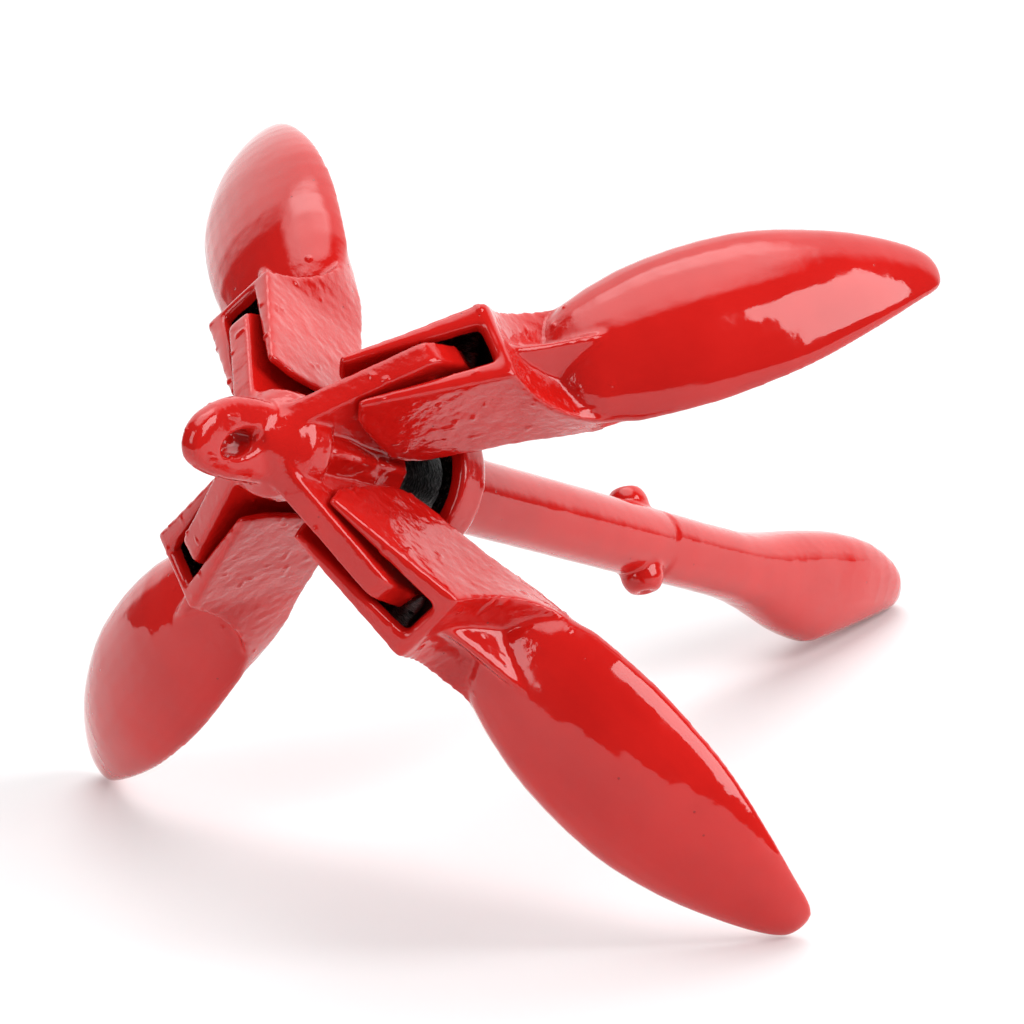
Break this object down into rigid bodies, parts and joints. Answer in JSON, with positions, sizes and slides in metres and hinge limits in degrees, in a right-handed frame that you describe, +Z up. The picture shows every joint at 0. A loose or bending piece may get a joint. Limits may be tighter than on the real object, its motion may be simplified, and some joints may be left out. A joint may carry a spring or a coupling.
{
  "type": "folding grapnel anchor",
  "caption": "Folding grapnel anchor in painted cast metal, open, with hinged leaf-shaped flukes round a shank and a sliding locking collar.",
  "frame": {"origin": "bottom centre of the bounding box of the open anchor as it lies on two fluke tips and the rope end", "axes": "+X runs from the crown towards the rope end along the ground, +Z up, +Y to the left seen from the crown; the shank slopes down along +X"},
  "size_m": [0.271, 0.1778, 0.1393],
  "materials": {
    "red_paint": "thick glossy red enamel over a rough casting",
    "pin_steel": "dark unpainted steel, dull"
  },
  "bodies": {
    "shank": {"crown_shank": "red_paint", "rope_end": "red_paint", "cross_pin": "red_paint"},
    "collar": {"locking_collar": "red_paint"},
    "fluke_1_body": {"fluke_1": "red_paint", "pivot_pin_1": "pin_steel"},
    "fluke_2_body": {"fluke_2": "red_paint", "pivot_pin_2": "pin_steel"},
    "fluke_3_body": {"fluke_3": "red_paint", "pivot_pin_3": "pin_steel"},
    "fluke_4_body": {"fluke_4": "red_paint", "pivot_pin_4": "pin_steel"}
  },
  "joints": [
    {"name": "fluke_1_fold", "type": "hinge", "parent": "shank", "child": "fluke_1_body", "pos_m": [-0.08178, -0.01482, 0.10549], "axis": [0.3449, 0.6658, 0.6616], "range_deg": [0, 38]},
    {"name": "fluke_2_fold", "type": "hinge", "parent": "shank", "child": "fluke_2_body", "pos_m": [-0.09204, -0.01506, 0.08158], "axis": [0.2573, -0.6496, 0.7154], "range_deg": [0, 45.1]},
    {"name": "fluke_3_fold", "type": "hinge", "parent": "shank", "child": "fluke_3_body", "pos_m": [-0.09213, 0.01096, 0.08135], "axis": [-0.2534, -0.6459, -0.7202], "range_deg": [0, 49.8]},
    {"name": "fluke_4_fold", "type": "hinge", "parent": "shank", "child": "fluke_4_body", "pos_m": [-0.08187, 0.0112, 0.10527], "axis": [-0.349, 0.641, -0.6836], "range_deg": [0, 46.2]},
    {"name": "collar_slide", "type": "slide", "parent": "shank", "child": "collar", "axis": [0.9189, 0, -0.3944], "range_m": [0, 0.108]}
  ],
  "couplings": [
    {"joint": "fluke_2_fold", "follows": "fluke_1_fold", "ratio": 1.1868},
    {"joint": "fluke_3_fold", "follows": "fluke_1_fold", "ratio": 1.3079},
    {"joint": "fluke_4_fold", "follows": "fluke_1_fold", "ratio": 1.2132},
    {"joint": "collar_slide", "follows": "fluke_1_fold", "m_per_rad": 0.1621}
  ]
}
